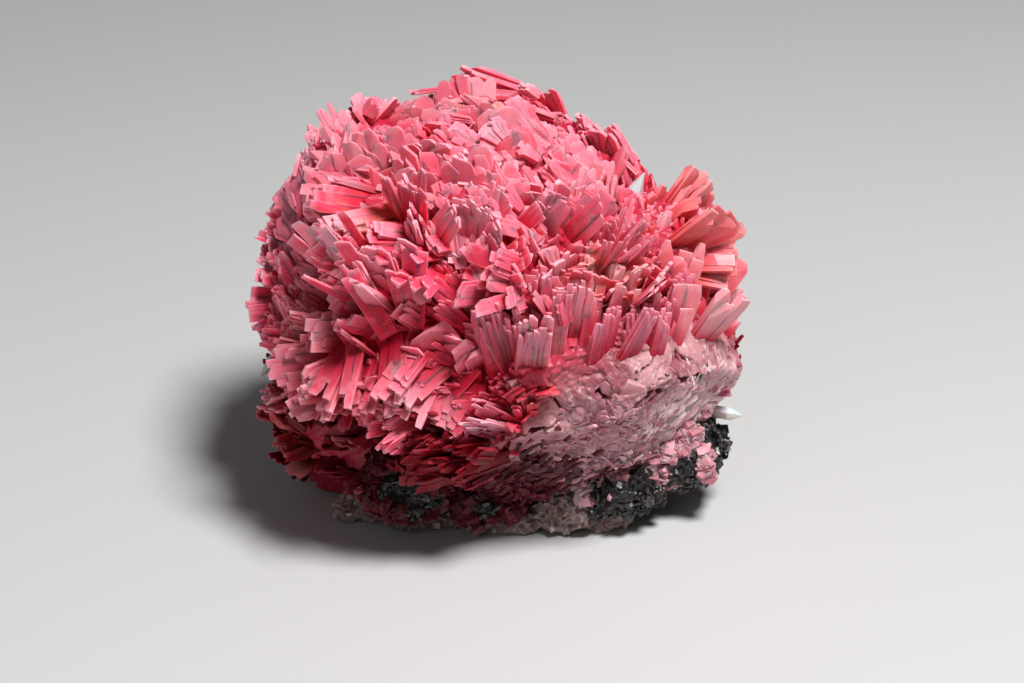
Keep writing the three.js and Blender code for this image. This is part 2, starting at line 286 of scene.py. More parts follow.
# %% The kinds of crystal end
WEDGE = 0.45  # how wide the root of a ray is, compared with its end
# Every master's end is made by its cuts. A cut says how far along and how far aside it passes,
# and its angles across the width and across the thickness, in degrees.
ENDS = {
    "lath": [[(0.98, 0, 20, 10)], [(0.98, 0, -24, -16)], [(0.97, 0, 4, 30)], [(0.99, 0, -6, 0)]],
    "ray": [
        [(0.80, 0.5, 17, 12), (0.90, -0.5, -26, 0)],
        [(0.97, 0, -14, -20), (0.82, -0.5, -36, 0)],
        [(0.86, 0.5, 24, 8), (0.80, -0.5, -20, 0)],
        [(0.96, 0.2, -26, 0), (0.96, -0.2, 30, 8)],
    ],
    "tablet": [
        [(0.97, 0, 8, 6), (0.90, -0.5, -42, 0)],
        [(0.94, 0.1, -14, 12), (0.84, 0.5, 48, -6)],
        [(0.80, 0.5, 34, 0), (0.90, -0.5, -16, 10), (0.98, 0, 0, -24)],
        [(0.72, -0.5, -38, 4), (0.96, 0.1, 12, 0)],
        [(0.86, 0.5, 22, -8), (0.88, -0.5, -26, 8)],
        [(0.76, 0.5, 24, 6), (0.95, -0.3, -10, 0), (0.97, 0, 0, 30)],
    ],
}
ROOT_WIDTH = {"lath": 0.96, "ray": WEDGE, "tablet": 0.8}
BEVEL = {"lath": 0, "ray": 0, "tablet": 0.05}


def end_planes(cuts):
    """The planes of the cuts, each as a point on it and the direction that it faces."""
    return [
        ((reach, side, 0), (1, math.tan(math.radians(aside)), math.tan(math.radians(over))))
        for reach, side, aside, over in cuts
    ]


MASTERS = {
    kind: [master_crystal(end_planes(cuts), ROOT_WIDTH[kind], BEVEL[kind]) for cuts in ends]
    for kind, ends in ENDS.items()
}
KINDS = list(MASTERS)
print("Triangles in each master:", {k: [len(m[1]) for m in v] for k, v in MASTERS.items()})


# %% [markdown]
# ## Sprays
#
# A spray is a bundle of plates that share a root and spread like a fan. A plate is either one
# broad tablet or many laths grown side by side, which end together because crystals that grow
# parallel also break parallel. That is what makes a whole plate flash at once in the light.
# So there are three levels: sprays on the body, plates in a spray and crystals in a plate.
#
# The tips of a spray would leave the mass at all heights if its length alone were given. So
# each plate is shortened until its tip stands no more than a few millimetres out of the body.


# %% Styles: how the crystals of a spray look
# cover: how many times over the plates cover their fan. lath, thick: one crystal, in mm.
# layers: crystals on top of each other. roll, lean: how much the plates turn, in degrees.
# slim: how wide the plates are, where that isn't the width that a spray gives.
STYLES = {
    "slab": dict(kind="ray", cover=2.8, lath=1.5, thick=0.34, layers=2.4, roll=8, lean=9),
    "petal": dict(kind="ray", cover=3.6, lath=1.1, thick=0.32, layers=2.4, roll=12, lean=12),
    "fan": dict(kind="ray", cover=3.6, lath=0.55, thick=0.28, layers=2.2, roll=13, lean=11),
    "plate": dict(kind="tablet", cover=4.0, lath=9.0, thick=0.34, layers=2.2, roll=22, lean=16),
    "blade": dict(kind="lath", cover=4.2, lath=0.85, thick=0.26, layers=2.0, roll=14, lean=10),
    "column": dict(kind="lath", cover=4.2, lath=0.5, thick=0.3, layers=2.4, roll=11, lean=6),
    "block": dict(kind="lath", cover=3.8, lath=0.75, thick=0.40, layers=2.2, roll=12, lean=9),
    "needle": dict(
        kind="lath", cover=4.2, lath=0.34, thick=0.2, layers=1.8, roll=22, lean=11, slim=0.6
    ),
    "fibre": dict(kind="lath", cover=4.0, lath=0.32, thick=0.18, layers=1.8, roll=14, lean=6),
}
PROUD_FRONT, PROUD_SIDE = 4.6, 3.5  # how far tips stand out in front and elsewhere, in mm
FRONT_FROM = -0.55  # the front is where a direction's second number is below this


def end_line(end, share):
    """How much of its length a crystal keeps, at a share from -0.5 to 0.5 across its plate."""
    return {
        "square": 1.0,
        "chisel": 0.93 + 0.14 * share,
        "point": 1.0 - 0.30 * abs(share),
        "round": 1.0 - 0.45 * share**2,
    }[end]


def plate_directions(axis, across, flat, splay, lean, roll):
    """Where the length, the side and the face of a plate point, from its angles in the fan."""
    a = axis * math.cos(splay) + across * math.sin(splay)
    a = unit(a + flat * math.tan(lean))
    s = unit(across - a * float(across @ a))
    n = np.cross(a, s)
    return a, s * math.cos(roll) + n * math.sin(roll), n * math.cos(roll) - s * math.sin(roll)


def plate_crystals(start, directions, long, width, end, look, rng):
    """One row for each crystal of a plate: root, directions, size, master, tint and grain."""
    a, s, n = directions
    gather = WEDGE if look["kind"] == "ray" else 1.0  # rays start close together
    plate = width * rng.uniform(0.55, 1.3)
    side = max(1, int(round(plate / look["lath"])))
    layers = max(1, int(round(look["layers"] * rng.uniform(0.4, 1.6))))
    thick = look["thick"] * rng.uniform(0.7, 1.3)
    slope = rng.choice((-1, 1))
    tint = rng.random()
    rows = []
    for j in range(layers):
        keep = 1 - 0.12 * j * rng.random()
        narrow = plate * (1 - 0.25 * j * rng.random())
        aside = (plate - narrow) * (rng.random() - 0.5)
        wide = narrow / side
        for i in range(side):
            along = (i + 0.5) / side - 0.5
            wobble = math.radians(rng.normal(0, 3.5))
            s1 = s * math.cos(wobble) + n * math.sin(wobble)
            step = thick * (0.8 * j + rng.uniform(-0.08, 0.08))
            place = wide * (i - (side - 1) / 2) + aside
            off = s * (place * gather) + n * step
            a1 = unit(a * long + s * (place * (1 - gather)))
            s1 = unit(s1 - a1 * float(a1 @ s1))
            ragged = 1 - 0.12 * rng.random() - 0.26 * rng.random() ** 4
            size = (
                long * keep * ragged * end_line(end, along * slope),
                wide * rng.uniform(0.9, 1.7),
                thick * rng.uniform(0.9, 1.1),
            )
            which = rng.integers(len(MASTERS[look["kind"]]))
            rows.append((*(start + off), *a1, *s1, *np.cross(a1, s1), *size, which, tint, rng.random()))
    return rows


# %% One spray
def spray(
    seat, axis, length, width, opening, end, style, rng,
    rise=0.3, stand=1.0, sink=0.0, turn=0.0, uneven=0.25, root=2.4,
):
    """The crystals of one spray, as an array with one row for each.

    rise: how steeply the axis leaves the body at least. stand: how far tips stand out, compared
    with other sprays. sink, root: how deep the seat lies, and how far the plates reach below it,
    in mm. turn: how far plates are turned about their length. uneven: how much they differ."""
    look = STYLES[style]
    seat, axis = unit(np.asarray(seat, float)), unit(np.asarray(axis, float))
    axis = unit(axis + seat * max(0.0, rise - float(axis @ seat)))
    across = np.cross(seat, axis)
    if np.linalg.norm(across) < 0.2:
        across = np.cross([0.3, 1.0, 0.0], axis)
    across = unit(across)
    flat = np.cross(axis, across)
    base = MIDDLE + seat * (body_radius(seat) + float(lobes(seat)) - sink) - axis * root
    spread = math.radians(opening)
    proud = PROUD_FRONT if seat[1] < FRONT_FROM else PROUD_SIDE
    width = width * look.get("slim", 1.0)
    plates = int(round(look["cover"] * (1 + length * spread / (2 * width))))
    rows = []
    for k in range(plates):
        share = (k + rng.random()) / plates - 0.5
        lean = math.radians(rng.normal(0, look["lean"]))
        roll = math.radians(rng.normal(turn, look["roll"]))
        directions = plate_directions(axis, across, flat, spread * share * 0.9, lean, roll)
        a = directions[0]
        long = length * (1.05 - uneven * rng.random()) * (1 - 0.6 * share**2) + root
        start = base + across * (width * 1.3 * share) + flat * rng.normal(0, 0.8)
        tip = start + a * long
        over = float(height_above(tip) - lobes(unit(tip - MIDDLE)))
        limit = proud * stand * rng.uniform(0.75, 1.25)
        if over > limit:
            long = max(root, long - (over - limit) / max(0.45, float(a @ seat)))
        rows += plate_crystals(start, directions, long, width, end, look, rng)
    return dict(rows=np.array(rows), kind=look["kind"])


# %% Copies of the masters joined into one mesh
# A row is a root, three directions and a size, of three numbers each, and then these.
WHICH, TINT, GRAIN = 15, 16, 17
UV_SHIFT = 50  # moves each crystal's UV to a place of its own, so no two have the same streaks


def stamp(bundles):
    """Places the master crystals for all rows and returns corners, triangles and attributes."""
    parts = []
    for kind in KINDS:
        for which, (corners, triangles) in enumerate(MASTERS[kind]):
            rows = [b["rows"][b["rows"][:, WHICH] == which] for b in bundles if b["kind"] == kind]
            rows = [r for r in rows if len(r)]
            if not rows:
                continue
            rows = np.concatenate(rows)
            p, a, s, n = rows[:, 0:3], rows[:, 3:6], rows[:, 6:9], rows[:, 9:12]
            size = rows[:, 12:15]
            local = corners[None] * size[:, None, :]
            placed = (
                p[:, None]
                + local[..., 0:1] * a[:, None]
                + local[..., 1:2] * s[:, None]
                + local[..., 2:3] * n[:, None]
            )
            count = len(corners)
            parts.append(
                dict(
                    corners=placed.reshape(-1, 3),
                    triangles=triangles[None] + count * np.arange(len(rows))[:, None, None],
                    along=np.tile(corners[:, 0], len(rows)),
                    across=np.tile(corners[:, 1], len(rows)),
                    tint=np.repeat(rows[:, TINT], count),
                    grain=np.repeat(rows[:, GRAIN], count),
                    uv=(local[..., :2] + rows[:, None, TINT:] * UV_SHIFT).reshape(-1, 2),
                )
            )
    shift = 0
    for part in parts:
        part["triangles"] = part["triangles"].reshape(-1, 3) + shift
        shift += len(part["corners"])
    return {key: np.concatenate([part[key] for part in parts]) for key in parts[0]}


# %% Helpers that make objects
def add_object(name, mesh):
    """A new object in the scene with this mesh."""
    piece = bpy.data.objects.new(name, mesh)
    bpy.context.scene.collection.objects.link(piece)
    return piece


def mesh_from(name, bm):
    mesh = bpy.data.meshes.new(name)
    bm.to_mesh(mesh)
    bm.free()
    return mesh


def give_values(mesh, values):
    """Stores arrays with one number for each corner, for the materials to read."""
    for key, value in values.items():
        layer = mesh.attributes.new(key, "FLOAT", "POINT")
        layer.data.foreach_set("value", value.astype(np.float32))


def object_from(name, corners, triangles, values, uv):
    """A mesh object from corners in mm, triangles, values for each corner and a UV for each."""
    mesh = bpy.data.meshes.new(name)
    mesh.vertices.add(len(corners))
    mesh.vertices.foreach_set("co", (corners * MM).astype(np.float32).ravel())
    mesh.loops.add(triangles.size)
    mesh.loops.foreach_set("vertex_index", triangles.astype(np.int32).ravel())
    mesh.polygons.add(len(triangles))
    mesh.polygons.foreach_set("loop_start", np.arange(0, triangles.size, 3, dtype=np.int32))
    mesh.update(calc_edges=True)
    mesh.shade_flat()
    give_values(mesh, values)
    layer = mesh.uv_layers.new(name="UVMap")
    layer.data.foreach_set("uv", uv[triangles.ravel()].astype(np.float32).ravel())
    return add_object(name, mesh)


def hand_over(piece, finish, node=None):
    """Gives a piece its material, the body it rides on and the node it replaces."""
    piece.data.materials.clear()
    piece.data.materials.append(finish)
    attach(piece, "root")
    if node:
        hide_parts(node)


# %% [markdown]
# ## Where the sprays are
#
# The larger sprays are placed one by one, because their places and leanings are what makes
# this specimen this one and not another. Each line gives the seat and the axis as azimuth and
# elevation, then the length, the width of a plate, how far the fan opens, and its end.

# %% The named sprays, by region
SPRAYS = {
    "crown": [
        (-160, 80, 180, 72, 6.4, 5.6, 50, "round", "petal"),
        (-122, 58, -120, 64, 4.4, 4.6, 50, "round", "slab"),
        (-100, 46, -96, 60, 6.6, 6.6, 40, "round", "slab"),
        (-114, 34, -112, 54, 7.0, 4.0, 30, "round", "petal"),
        (50, 75, 104, 72, 6.4, 4.0, 50, "round", "slab"),
        (62, 60, 94, 64, 6.0, 4.8, 50, "chisel", "petal"),
        (58, 46, -170, 84, 7.0, 4.6, 25, "point", "slab"),
        (-60, 50, -84, 56, 7.4, 7.6, 25, "round", "slab"),
        (-35, 54, -130, 80, 6.2, 4.2, 50, "chisel", "slab"),
        (6, 54, 140, 76, 5.8, 3.4, 55, "round", "slab"),
        (32, 52, 96, 74, 5.6, 3.2, 50, "round", "petal"),
        (-88, 74, -100, 76, 6.0, 5.6, 50, "round", "slab"),
        (114, 45, 118, 62, 6.6, 3.6, 25, "point", "slab"),
    ],
    "left_field": [
        (-106, 24, -88, 40, 3.6, 2.4, 30, "square", "block"),
        (-92, 16, -80, 24, 4.8, 3.4, 40, "round", "fan"),
        (-52, 40, -60, 16, 6.0, 3.0, 20, "square", "blade"),
        (-40, 22, -80, 50, 10.0, 1.8, 40, "chisel", "blade"),
        (-38, 14, -80, 28, 10.0, 1.8, 35, "chisel", "blade"),
        (-88, 6, -84, 18, 4.2, 2.4, 30, "chisel", "blade"),
        (-86, -4, -78, -6, 4.4, 2.4, 40, "point", "blade"),
    ],
    "mound": [
        (-30, 40, 10, 68, 5.0, 2.4, 60, "square", "blade"),
        (-4, 36, 34, 56, 5.4, 2.6, 70, "chisel", "blade"),
        (2, 28, -48, 22, 6.0, 1.8, 50, "point", "blade"),
        (-28, 30, -42, 6, 5.0, 2.6, 60, "chisel", "blade"),
        (-30, 20, -54, 68, 7.0, 1.6, 40, "point", "blade"),
    ],
    "right_needles": [
        (22, 40, 66, 58, 7.0, 1.8, 40, "chisel", "blade"),
        (36, 30, 70, 64, 6.0, 1.4, 50, "point", "needle"),
        (50, 36, 84, 74, 6.0, 1.4, 50, "point", "needle"),
        (66, 34, -100, 76, 5.0, 2.2, 30, "chisel", "blade"),
    ],
    "right_spray": [
        (76, 22, 98, 32, 6.2, 3.0, 40, "round", "slab"),
        (78, 17, 92, 8, 4.0, 2.0, 40, "round", "block"),
        (86, 30, 106, 44, 6.0, 3.4, 45, "round", "slab"),
    ],
    "columns": [
        (1, 4, -100, 78, 8.4, 2.4, 12, "chisel", "column"),
        (10, 5, -170, 84, 9.6, 2.8, 10, "square", "column"),
        (19, 6, 165, 84, 8.6, 2.6, 10, "square", "column"),
        (34, 2, 130, 80, 7.6, 2.2, 22, "chisel", "column"),
        (44, 2, -150, 84, 6.4, 2.2, 16, "chisel", "column"),
        (54, 2, 150, 84, 7.4, 2.4, 16, "point", "column"),
        (-7, -3, -150, 78, 5.4, 2.4, 25, "chisel", "column"),
        (5, -6, -120, 70, 3.2, 1.6, 40, "point", "column"),
        (-12, 2, 50, 66, 5.6, 2.0, 15, "square", "column"),
        (0, -18, -80, 38, 6.0, 1.6, 25, "chisel", "fibre"),
    ],
    "right_columns": [
        (64, 1, 150, 84, 8.4, 4.0, 14, "square", "slab"),
        (74, -2, 110, 82, 8.4, 3.8, 16, "chisel", "slab"),
        (84, -8, 100, 78, 6.6, 3.2, 24, "point", "slab"),
        (88, -17, 100, 80, 2.2, 2.0, 35, "point", "fan"),
    ],
    "right_edge": [
        (84, -14, 88, 30, 1.8, 1.8, 60, "round", "fan"),
        (82, -20, 86, 20, 2.0, 1.8, 60, "point", "fan"),
        (81, -26, 84, 20, 0.8, 1.2, 55, "round", "fan"),
        (94, -22, 96, 30, 3.4, 2.2, 50, "chisel", "fan"),
    ],
    "glassy": [
        (-11, 2, -66, 58, 6.6, 3.4, 18, "square", "plate"),
        (-5, -2, -60, 64, 6.4, 3.2, 15, "chisel", "plate"),
        (-18, 3, -30, 60, 4.6, 2.6, 30, "point", "plate"),
    ],
    "bouquets": [
        (-40, 6, -72, 50, 5.0, 1.8, 30, "point", "blade"),
        (-26, 14, -70, 40, 5.4, 1.6, 35, "point", "blade"),
        (-39, 2, -12, -46, 7.0, 2.2, 22, "square", "block"),
        (-31, 1, -20, -52, 6.4, 1.8, 22, "point", "block"),
        (-22, 2, -34, -34, 7.0, 2.0, 24, "square", "block"),
        (-46, -6, -36, -42, 5.6, 2.4, 25, "square", "block"),
        (-50, -2, -74, -8, 7.6, 3.0, 40, "round", "block"),
        (-54, 0, -80, 24, 6.6, 2.8, 45, "round", "fan"),
        (-74, -20, -78, -4, 3.8, 3.0, 40, "chisel", "blade"),
        (-15, -5, -42, -34, 4.8, 2.2, 30, "point", "blade"),
    ],
    "low_left": [
        (-78, -27, -82, 26, 4.2, 2.6, 60, "round", "slab"),
        (-72, -36, -76, -34, 3.8, 2.2, 60, "point", "fan"),
        (-68, -45, -96, 10, 4.0, 2.4, 50, "round", "petal"),
        (-60, -50, -60, -50, 3.6, 2.0, 70, "point", "fan"),
        (-48, -54, -60, 12, 5.0, 2.8, 50, "round", "slab"),
        (-56, -36, -40, 10, 4.6, 1.8, 60, "chisel", "fan"),
    ],
}
# How far each region stands out, where it isn't 1.
STAND = {
    "left_field": 1.35,
    "right_needles": 1.2,
    "right_spray": 1.6,
    "columns": 1.6,
    "right_columns": 1.5,
    "right_edge": 1.4,
    "glassy": 1.6,
    "bouquets": 1.5,
    "low_left": 0.9,
}
# How far the roots lie under the surface, where sprays grow along it.
SINK = {"columns": 1.6, "right_columns": 1.4, "right_edge": 0.8, "glassy": 0.6, "bouquets": 0.4}
# How far plates are turned about their length, in degrees, where they don't lie along the body.
TURN = {"right_columns": -45.0}
print("Named sprays:", sum(len(group) for group in SPRAYS.values()))

# %% [markdown]
# ## The sprays between them
#
# The named sprays leave gaps, and the back isn't shaped by hand at all. Scattering seats at
# random would leave bald spots, so they lie on a spiral that turns by the golden angle, which
# spaces them evenly. Crystals grow away from where the mass began, at its foot, and a slow
# noise turns them aside, so that neighbours agree in direction without being parallel.

# %% The sprays that cover the rest
COLUMN_FRONT = pointing(np.array([-8, 4, 16, 28, 42, 58, 74]), np.full(7, 9.0))
FOOT_CLEAR, COLUMN_CLEAR = 45, 9.5  # degrees kept free round the foot and before the columns
LOWEST_SEAT = -38  # the lowest elevation of a seat, in degrees
TOP_FROM, BASE_FROM = 0.45, -0.22  # where the top and the base begin, as height of a direction

NAMED_SEATS = np.concatenate(
    [pointing(*np.array([line[:2] for line in group]).T) for group in SPRAYS.values()]
)


def nearer(seats, places, degrees):
    """Which seats are nearer than some degrees to any of the places."""
    return (seats @ np.atleast_2d(places).T).max(axis=1) > math.cos(math.radians(degrees))


def cover_seats(count, clear):
    """Evenly spaced directions round the mass, off the foot and off the seats of named sprays."""
    seats = even_directions(count)
    kept = seats[:, 2] > math.sin(math.radians(LOWEST_SEAT))
    for places, degrees in ((FOOT, FOOT_CLEAR), (NAMED_SEATS, clear), (COLUMN_FRONT, COLUMN_CLEAR)):
        kept &= ~nearer(seats, places, degrees)
    return seats[kept]


# Blender offsets noise vectors by the clock unless a seed is set first.
noise.seed_set(1)


def growth(seat):
    """The way crystals lean at a seat: away from the foot, where growth began, but unevenly."""
    away = seat * float(FOOT @ seat) - FOOT
    swirl = np.array(noise.noise_vector(Vector(seat) * 2.2))
    lean = away + 0.9 * swirl
    return unit(lean - seat * float(lean @ seat))


def in_cave(seat):
    """Whether a seat lies in one of the hollows, where crystals are short and painted dark as shade."""
    return any(
        seat @ pointing(azimuth, elevation) > math.cos(math.radians(width))
        for azimuth, elevation, width in CAVES
    )


def cover(count, length, width, style_of, rng, clear, upright, stand, crown):
    """Sprays all over the mass, as three lists: the bright top, the sides and the base, whose dark
    finish is painted shade.

    clear: degrees kept free round named sprays. upright: how steeply they stand. stand, crown:
    how far they stand out at the sides and on top."""
    made = dict(top=[], side=[], low=[])
    for seat in cover_seats(count, clear):
        top = seat[2] > TOP_FROM
        outward = upright * (0.45 if top else 1.0) * rng.uniform(0.7, 1.3)
        stray = 0.45 if seat[0] < -0.4 and seat[1] < 0 and seat[2] < -0.1 else 0.25
        axis = growth(seat) + stray * rng.normal(size=3) + seat * outward
        style = style_of(seat, rng)
        end = ("square", "chisel", "point", "round")[rng.integers(4)]
        size = rng.uniform(0.75, 1.25)
        wide = width * size * (1.5 if style == "petal" else 1.0)
        cave = in_cave(seat)
        reach = (0.2 if cave else 1.0) * (crown if top else stand)
        # Caves and the base make the low list, whose crystals get the dark finish as painted shade.
        zone = "low" if cave or seat[2] < BASE_FROM else "top" if top else "side"
        made[zone].append(
            spray(seat, axis, length * size, wide, 45, end, style, rng, stand=reach, uneven=0.5)
        )
    return made


def large_style(seat, rng):
    if seat[2] > TOP_FROM:
        return "petal"
    return ("blade", "fan", "block", "fan")[rng.integers(4)]


def small_style(seat, rng):
    return ("blade", "fan", "needle")[rng.integers(3)] if seat[2] < 0.5 else "fan"


# %% Make all bundles of crystals
# Every region draws from its own random numbers, so a change in one leaves the others alone.
bundles = {}
for name, group in SPRAYS.items():
    own = np.random.default_rng(len(name) + len(group))
    how = dict(stand=STAND.get(name, 1.0), sink=SINK.get(name, 0.0), turn=TURN.get(name, 0.0))
    bundles[name] = [
        spray(pointing(sa, se), pointing(aa, ae), length, width, opening, end, style, own, **how)
        for sa, se, aa, ae, length, width, opening, end, style in group
    ]
large = cover(160, 5.0, 3.4, large_style, np.random.default_rng(1), 9, 0.9, 0.62, 0.9)
small = cover(560, 3.2, 1.5, small_style, np.random.default_rng(2), 2, 1.0, 0.42, 0.3)
bundles["cover_top"] = large["top"] + small["top"]
bundles["cover_side"] = large["side"]
bundles["cover_small"] = small["side"]
bundles["cover_low"] = large["low"] + small["low"]
print("Sprays in each bundle:", {name: len(bundle) for name, bundle in bundles.items()})

# %% [markdown]
# ## Shader maths
#
# Blender's materials are graphs of nodes. Wiring Math nodes by hand hides the formula, so a
# small class wraps a socket and turns Python's operators into nodes. The finish of a crystal
# can then be written as it would be on paper.


# %% A socket that can be calculated with
class Value:
    """The output of a node. Adding and multiplying make Math nodes."""

    def __init__(self, shader, socket):
        self.shader, self.socket = shader, socket

    def __add__(self, other):
        return self.shader.math("ADD", self, other)

    def __mul__(self, other):
        return self.shader.math("MULTIPLY", self, other)

    __radd__, __rmul__ = __add__, __mul__


class Shader:
    """A material under construction: node() adds any node, and the rest are shorthands."""

    def __init__(self, name):
        self.material = bpy.data.materials.new(name)
        self.material.use_nodes = True
        self.tree = self.material.node_tree
        self.tree.nodes.clear()
        self.surface = self.node("ShaderNodeBsdfPrincipled")
        self.node("ShaderNodeOutputMaterial", dict(Surface=self.surface))

    def plug(self, made, key, value):
        """Links a Value to an input, or sets the input to a constant. A colour gets alpha 1."""
        socket = made.inputs[key]
        if isinstance(value, Value):
            self.tree.links.new(value.socket, socket)
        elif socket.type == "RGBA":
            socket.default_value = (*value, 1)
        else:
            socket.default_value = value

    def node(self, kind, inputs=None, output=0, **settings):
        """Adds a node, with its inputs by name or by number, and returns one of its outputs."""
        made = self.tree.nodes.new(kind)
        for key, value in settings.items():
            setattr(made, key, value)
        for key, value in (inputs or {}).items():
            self.plug(made, key, value)
        return Value(self, made.outputs[output]) if made.outputs else None

    def set(self, **inputs):
        """Sets inputs of the surface, with _ for a space in their names."""
        for key, value in inputs.items():
            self.plug(self.surface.socket.node, key.replace("_", " "), value)

    def math(self, operation, *values):
        return self.node("ShaderNodeMath", dict(enumerate(values)), operation=operation)

    def mix(self, factor, a, b):
        return self.node("ShaderNodeMix", {0: factor, 6: a, 7: b}, 2, data_type="RGBA")

    def ramp(self, value, low, high):
        """0 where the value is at low, 1 where it is at high, and smooth between."""
        inputs = dict(enumerate((value, low, high)))
        return self.node("ShaderNodeMapRange", inputs, interpolation_type="SMOOTHSTEP")

    def attribute(self, name):
        return self.node("ShaderNodeAttribute", output=2, attribute_name=name)

    def grains(self, scale, detail, vector=None, roughness=0.55):
        """Noise over the piece, or over the coordinates given."""
        if vector is None:
            vector = self.node("ShaderNodeTexCoord", output=3)
        inputs = dict(Vector=vector, Scale=scale, Detail=detail, Roughness=roughness)
        return self.node("ShaderNodeTexNoise", inputs)

    def bump(self, height, strength, distance):
        return self.node("ShaderNodeBump", dict(Height=height, Strength=strength, Distance=distance))


# %% [markdown]
# ## The finish of the crystals
#
# Real rhodonite is clear enough to glow at its edges. The colour of each crystal is built up
# from what can be known at every point: how far out of the mass it stands, how far along the
# crystal it is, and which plate it belongs to. Deep points and the roots of crystals are painted
# a darker crimson, as painted shade for light that comes back from there through many crystals.
# Tips are pale.
#
# Glass and volume absorption would be truer for one crystal, but thousands of them would need
# dozens of bounces. Subsurface scattering with a short radius gives the same soft depth. The
# mirror-like part is kept low, since crystals that mirror each other turn the gaps grey, and a
# thin coat gives the shine back only where crystals stand proud.


# %% Rhodonite in several shades
def rhodonite(
    name, deep, body, tip,
    haze=0.25, gloss=0.2, streak=1.0, depth=2.4, root=0.6, glint=0.0, coat=0.12,
):
    """A finish from its colour in the gaps (painted shade), on the crystals and at their tips.

    haze and streak whiten tips and fibres; depth is how far out the painted shade of the gaps
    reaches, in mm; root paints that shade on crystals towards their root; glint whitens the
    tips of a few plates as a painted highlight."""
    sh = Shader(f"rhodonite_{name}")
    out, along = sh.attribute("out"), sh.attribute("along")
    tint, grain, stain = sh.attribute("tint"), sh.attribute("grain"), sh.attribute("stain")
    # Painted shade: points deep among the crystals take the darker crimson of the gaps.
    proud = sh.ramp(out, -0.5, depth)
    colour = sh.mix(proud, deep, body)
    colour = sh.mix(sh.ramp(tint, 0.5, 1.0) * haze * 1.4 * proud, colour, tip)
    colour = sh.mix(sh.ramp(tint, 0.5, 0.0) * 0.35, colour, deep)
    # Painted shade: crystals darken to the gap crimson towards their root.
    colour = sh.mix(sh.ramp(along, 0.85, 0.35) * root, colour, deep)
    colour = sh.mix(sh.ramp(along, 0.9, 1.0) * proud * haze, colour, tip)
    # Paler side edges on each lath: partly pale striations between laths, partly a painted highlight
    # where thin edges catch light.
    rim = sh.math("ABSOLUTE", sh.attribute("across"))
    colour = sh.mix(sh.ramp(rim, 0.38, 0.5) * 0.25 * proud, colour, tip)
    uv = sh.node("ShaderNodeUVMap")
    stretched = sh.node("ShaderNodeMapping", dict(Vector=uv, Scale=(0.3, 4.0, 1.0)))
    streaks = sh.grains(1.0, 4.0, stretched, 0.6)
    clouds = sh.grains(420.0, 3.0)
    colour = sh.mix(sh.ramp(clouds, 0.5, 0.7) * 0.3 * proud, colour, tip)
    patchy = sh.ramp(sh.grains(300.0, 1.0), 0.42, 0.6) * streak
    colour = sh.mix(sh.ramp(streaks, 0.52, 0.68) * 0.35 * proud * patchy, colour, tip)
    colour = sh.mix(sh.ramp(streaks, 0.46, 0.30) * 0.1 * patchy, colour, deep)
    colour = sh.mix(stain * sh.ramp(clouds, 0.35, 0.6) * 0.7, colour, (0.95, 0.42, 0.18))
    # Painted highlight: the tips of a few plates, picked by their tint, are whitened as glints.
    painted_glint = sh.ramp(tint, 0.88, 0.96) * sh.ramp(along, 0.6, 0.95) * proud * glint
    colour = sh.mix(painted_glint, colour, (1.0, 0.66, 0.72))
    rough = gloss + sh.ramp(streaks, 0.42, 0.58) * 0.3 + grain * 0.06
    sh.set(
        Base_Color=colour,
        Roughness=rough,
        Normal=sh.bump(streaks, 0.07 * streak, 0.00005),
        Coat_Weight=proud * coat,
        Coat_Roughness=0.18,
        IOR=1.6,
        Specular_IOR_Level=0.06,
        Subsurface_Weight=0.7,
        Subsurface_Radius=(1.0, 0.5, 0.55),
        Subsurface_Scale=0.0006,
    )
    return sh.material


# %% The shades, and where each is used
# Each shade: its colour in the gaps, which is painted shade, on the crystals and at their tips.
SHADES = {
    "soft_pink": ((0.74, 0.045, 0.09), (0.84, 0.205, 0.28), (0.92, 0.50, 0.55)),
    "rose": ((0.55, 0.002, 0.022), (0.86, 0.10, 0.175), (0.95, 0.40, 0.48)),
    "clear": ((0.52, 0.001, 0.020), (0.84, 0.085, 0.160), (0.96, 0.46, 0.54)),
    "mauve": ((0.46, 0.003, 0.024), (0.78, 0.11, 0.19), (0.95, 0.48, 0.56)),
    "salmon": ((0.55, 0.012, 0.025), (0.88, 0.17, 0.195), (0.96, 0.48, 0.46)),
    "peach": ((0.42, 0.002, 0.020), (0.74, 0.12, 0.185), (0.92, 0.44, 0.50)),
    "blush": ((0.62, 0.03, 0.06), (0.90, 0.23, 0.275), (0.97, 0.56, 0.59)),
    "pale": ((0.38, 0.10, 0.135), (0.64, 0.29, 0.33), (0.86, 0.62, 0.64)),
    "silk": ((0.90, 0.42, 0.44), (0.98, 0.60, 0.61), (1.0, 0.82, 0.82)),
    # dark, dusky and maroon are the rhodonite darkened as painted shade: for the caves and base, the
    # underside at the left, and the fibres and flakes under the mass.
    "dark": ((0.07, 0.0001, 0.0015), (0.18, 0.0015, 0.006), (0.42, 0.05, 0.075)),
    "dusky": ((0.10, 0.0004, 0.002), (0.34, 0.010, 0.018), (0.72, 0.22, 0.22)),
    "maroon": ((0.035, 0.0007, 0.002), (0.08, 0.006, 0.010), (0.22, 0.05, 0.07)),
}
